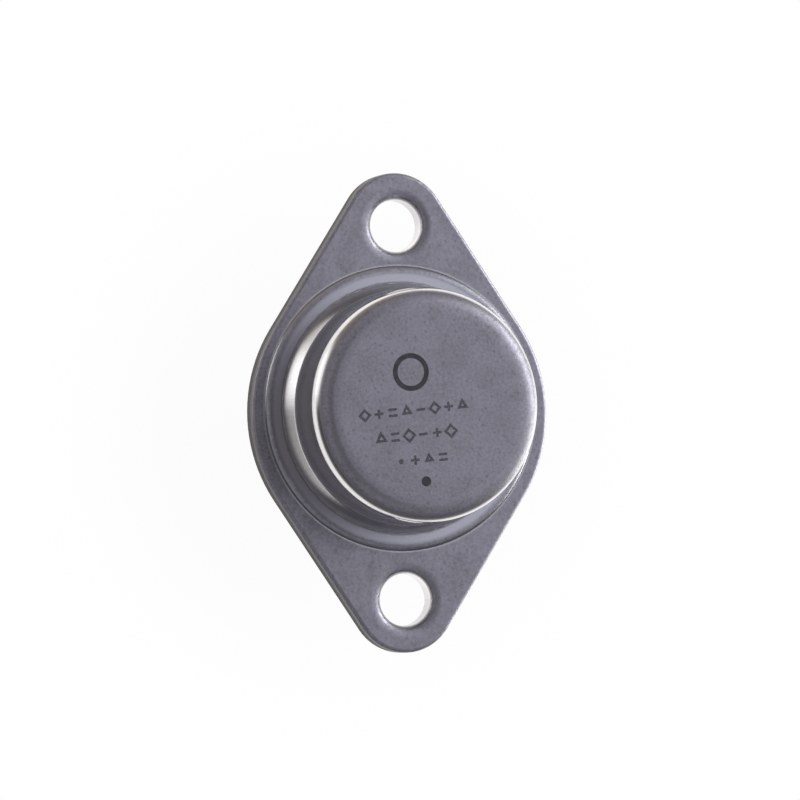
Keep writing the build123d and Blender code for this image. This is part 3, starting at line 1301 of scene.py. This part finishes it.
@dataclass
class Print:
    """Plain marks on the cap's top: a ring, three rows of signs and the index dot."""

    slant: float = math.radians(5.3)
    pitch: float = 1.17 * MM
    sign_width: float = 0.74 * MM
    stroke: float = 0.2 * MM
    ink_height: float = 0.006 * MM
    ring_place: tuple[float, float] = (-1.59 * MM, 2.6 * MM)
    ring_radii: tuple[float, float] = (1.1 * MM, 1.5 * MM)
    dot_place: tuple[float, float] = (-0.53 * MM, -6.06 * MM)
    dot_radius: float = 0.4 * MM
    rows: tuple[Row, ...] = (
        Row((-1.42 * MM, -0.43 * MM), 1.1 * MM, (
            Sign.DIAMOND, Sign.CROSS, Sign.TWIN, Sign.WEDGE, Sign.DASH, Sign.DIAMOND, Sign.CROSS, Sign.WEDGE,
        )),
        Row((-1.27 * MM, -2.37 * MM), 1.2 * MM, (
            Sign.WEDGE, Sign.TWIN, Sign.DIAMOND, Sign.DASH, Sign.CROSS, Sign.DIAMOND,
        )),
        Row((-0.82 * MM, -4.31 * MM), 1.0 * MM, (Sign.DOT, Sign.CROSS, Sign.WEDGE, Sign.TWIN)),
    )

    def disc(self, middle: Vector, radius: float, steps: int = 32) -> list[Vector]:
        """Outline of a disc."""
        turns = [2 * math.pi * step / steps for step in range(steps)]
        return [middle + radius * Vector((math.cos(turn), math.sin(turn), 0.0)) for turn in turns]

    def block(self, middle: Vector, width: float, height: float, cut: float) -> list[Vector]:
        """Outline of an upright block with cut corners, turned by the rows' slant.

        Args:
            middle: the block's middle.
            width: its size along the row.
            height: its size across the row.
            cut: how much of each corner is cut off.

        Returns:
            The outline's points.
        """
        along = Vector((math.cos(self.slant), math.sin(self.slant), 0.0))
        across = Vector((-along.y, along.x, 0.0))
        points = []
        for x, y in ((1, -1), (1, 1), (-1, 1), (-1, -1)):
            ends = ((x * (width / 2 - cut), y * height / 2), (x * width / 2, y * (height / 2 - cut)))
            for right, up in ends if x * y < 0 else ends[::-1]:
                points.append(middle + along * right + across * up)
        return points

    def slab(self, mesh: bmesh.types.BMesh, outline: Sequence[Vector], layout: Layout) -> None:
        """Adds a closed slab of ink with a flat outline.

        Args:
            mesh: the mesh to add to.
            outline: the outline's points, from the middle of the cap's top.
            layout: where the can stands.
        """
        top = self.loop(mesh, outline, self.ink_height, layout)
        foot = self.loop(mesh, outline, -self.ink_height, layout)
        mesh.faces.new(top)
        mesh.faces.new(foot[::-1])
        self.join(mesh, foot, top)

    def frame(
        self, mesh: bmesh.types.BMesh, inner: Sequence[Vector], outer: Sequence[Vector], layout: Layout
    ) -> None:
        """Adds a closed frame of ink between two outlines of as many points.

        Args:
            mesh: the mesh to add to.
            inner: the inner outline's points.
            outer: the outer outline's points.
            layout: where the can stands.
        """
        sides = ((inner, -1), (outer, -1), (outer, 1), (inner, 1))
        loops = [self.loop(mesh, outline, side * self.ink_height, layout) for outline, side in sides]
        for loop, after in zip(loops, loops[1:] + loops[:1]):
            self.join(mesh, loop, after)

    def loop(self, mesh: bmesh.types.BMesh, outline: Sequence[Vector], height: float, layout: Layout) -> list:
        """Adds an outline's points at a height over the cap's top."""
        base = Vector((layout.centre[0], layout.centre[1], layout.cap_top + height))
        return [mesh.verts.new(base + point) for point in outline]

    def join(self, mesh: bmesh.types.BMesh, loop: list, after: list) -> None:
        """Adds the faces between two loops of as many points."""
        for index in range(len(loop)):
            other = (index + 1) % len(loop)
            mesh.faces.new((loop[index], loop[other], after[other], after[index]))

    def sign(
        self, mesh: bmesh.types.BMesh, sign: Sign, middle: Vector, height: float, layout: Layout
    ) -> None:
        """Adds one sign.

        Args:
            mesh: the mesh to add to.
            sign: which sign.
            middle: its middle.
            height: the row's height.
            layout: where the can stands.
        """
        cut = 0.25 * self.stroke
        across = Vector((-math.sin(self.slant), math.cos(self.slant), 0.0))
        if sign in (Sign.DIAMOND, Sign.WEDGE):
            sides = 4 if sign is Sign.DIAMOND else 3
            outer = self.polygon(middle, height / 2, sides)
            inner = self.polygon(middle, height / 2 - self.stroke / math.cos(math.pi / sides), sides)
            self.frame(mesh, inner, outer, layout)
        elif sign is Sign.CROSS:
            self.slab(mesh, self.cross(middle, self.sign_width, self.stroke), layout)
        elif sign is Sign.DOT:
            self.slab(mesh, self.disc(middle, self.stroke, 16), layout)
        else:
            offsets = (-0.22, 0.22) if sign is Sign.TWIN else (0.0,)
            for offset in offsets:
                place = middle + across * (offset * height)
                self.slab(mesh, self.block(place, self.sign_width, self.stroke, cut), layout)

    def polygon(self, middle: Vector, radius: float, sides: int) -> list[Vector]:
        """Outline of a regular polygon that stands on the row with a corner at its top."""
        turns = [self.slant + math.pi / 2 + 2 * math.pi * side / sides for side in range(sides)]
        return [middle + radius * Vector((math.cos(turn), math.sin(turn), 0.0)) for turn in turns]

    def cross(self, middle: Vector, size: float, stroke: float) -> list[Vector]:
        """Outline of a plus-shaped cross, turned by the rows' slant."""
        arm, half = size / 2, stroke / 2
        along = Vector((math.cos(self.slant), math.sin(self.slant), 0.0))
        across = Vector((-along.y, along.x, 0.0))
        points = []
        for quarter in range(4):
            for right, up in ((arm, -half), (arm, half), (half, half)):
                points.append(middle + along * right + across * up)
            along, across = across, -along
        return points

    def build(self, layout: Layout) -> None:
        """Makes the marks: the ring and the index dot in dark ink, the rows in worn ink.

        Args:
            layout: where the can stands.
        """
        dark = Ink("dark_ink", (0.011, 0.010, 0.012), 0.9)
        worn = Ink("worn_ink", (0.032, 0.031, 0.035), 0.6)
        bold = bmesh.new()
        ring_middle = Vector((*self.ring_place, 0.0))
        inner, outer = (self.disc(ring_middle, radius, 64) for radius in self.ring_radii)
        self.frame(bold, inner, outer, layout)
        self.slab(bold, self.disc(Vector((*self.dot_place, 0.0)), self.dot_radius), layout)
        add_piece("print_ring_and_index", bold, dark.material(), False)
        light = bmesh.new()
        along = Vector((math.cos(self.slant), math.sin(self.slant), 0.0))
        for row in self.rows:
            for index, sign in enumerate(row.signs):
                step = index - (len(row.signs) - 1) / 2
                middle = Vector((*row.middle, 0.0)) + along * (step * self.pitch)
                self.sign(light, sign, middle, row.height, layout)
        add_piece("print_rows", light, worn.material(), False)


@dataclass
class Chip:
    """Everything inside the can."""

    finishes: dict[str, Inner] = field(default_factory=lambda: {
        "heat_spreader": Inner("copper", Tone((0.72, 0.38, 0.26), (0.5, 0.24, 0.16), 0.38), 1.0, 0.1 * MM),
        "spreader_braze": Inner("braze", Tone((0.74, 0.66, 0.48), (0.6, 0.5, 0.35), 0.35), 1.0, 0.1 * MM),
        "die_attach_solder": Inner("solder", Tone((0.56, 0.56, 0.57), (0.4, 0.4, 0.42), 0.35), 1.0, 0.1 * MM),
        "regulator_die": Inner("silicon", Tone((0.24, 0.26, 0.34), (0.16, 0.2, 0.22), 0.2), 0.6, 0.05 * MM),
    })
    wire: Inner = Inner("bond_aluminium", Tone((0.82, 0.82, 0.82), (0.7, 0.7, 0.7), 0.3), 1.0, 0.05 * MM)

    def build(self, layout: Layout) -> None:
        """Puts the finishes on."""
        for node, finish in self.finishes.items():
            apply(finish.material(), node)
        wires = [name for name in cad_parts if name.startswith("bond_wire")]
        apply(self.wire.material(), *wires)


def main() -> None:
    """Builds the studio, measures where the can stands and builds each sub-assembly."""
    logging.basicConfig(level=logging.INFO)
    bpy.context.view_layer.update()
    Studio().build()
    layout = Layout.measured()
    for part in (Base(), Cap(), Print(), Chip()):
        part.build(layout)
        LOG.info("%s done", type(part).__name__)


if __name__ == "__main__":
    main()
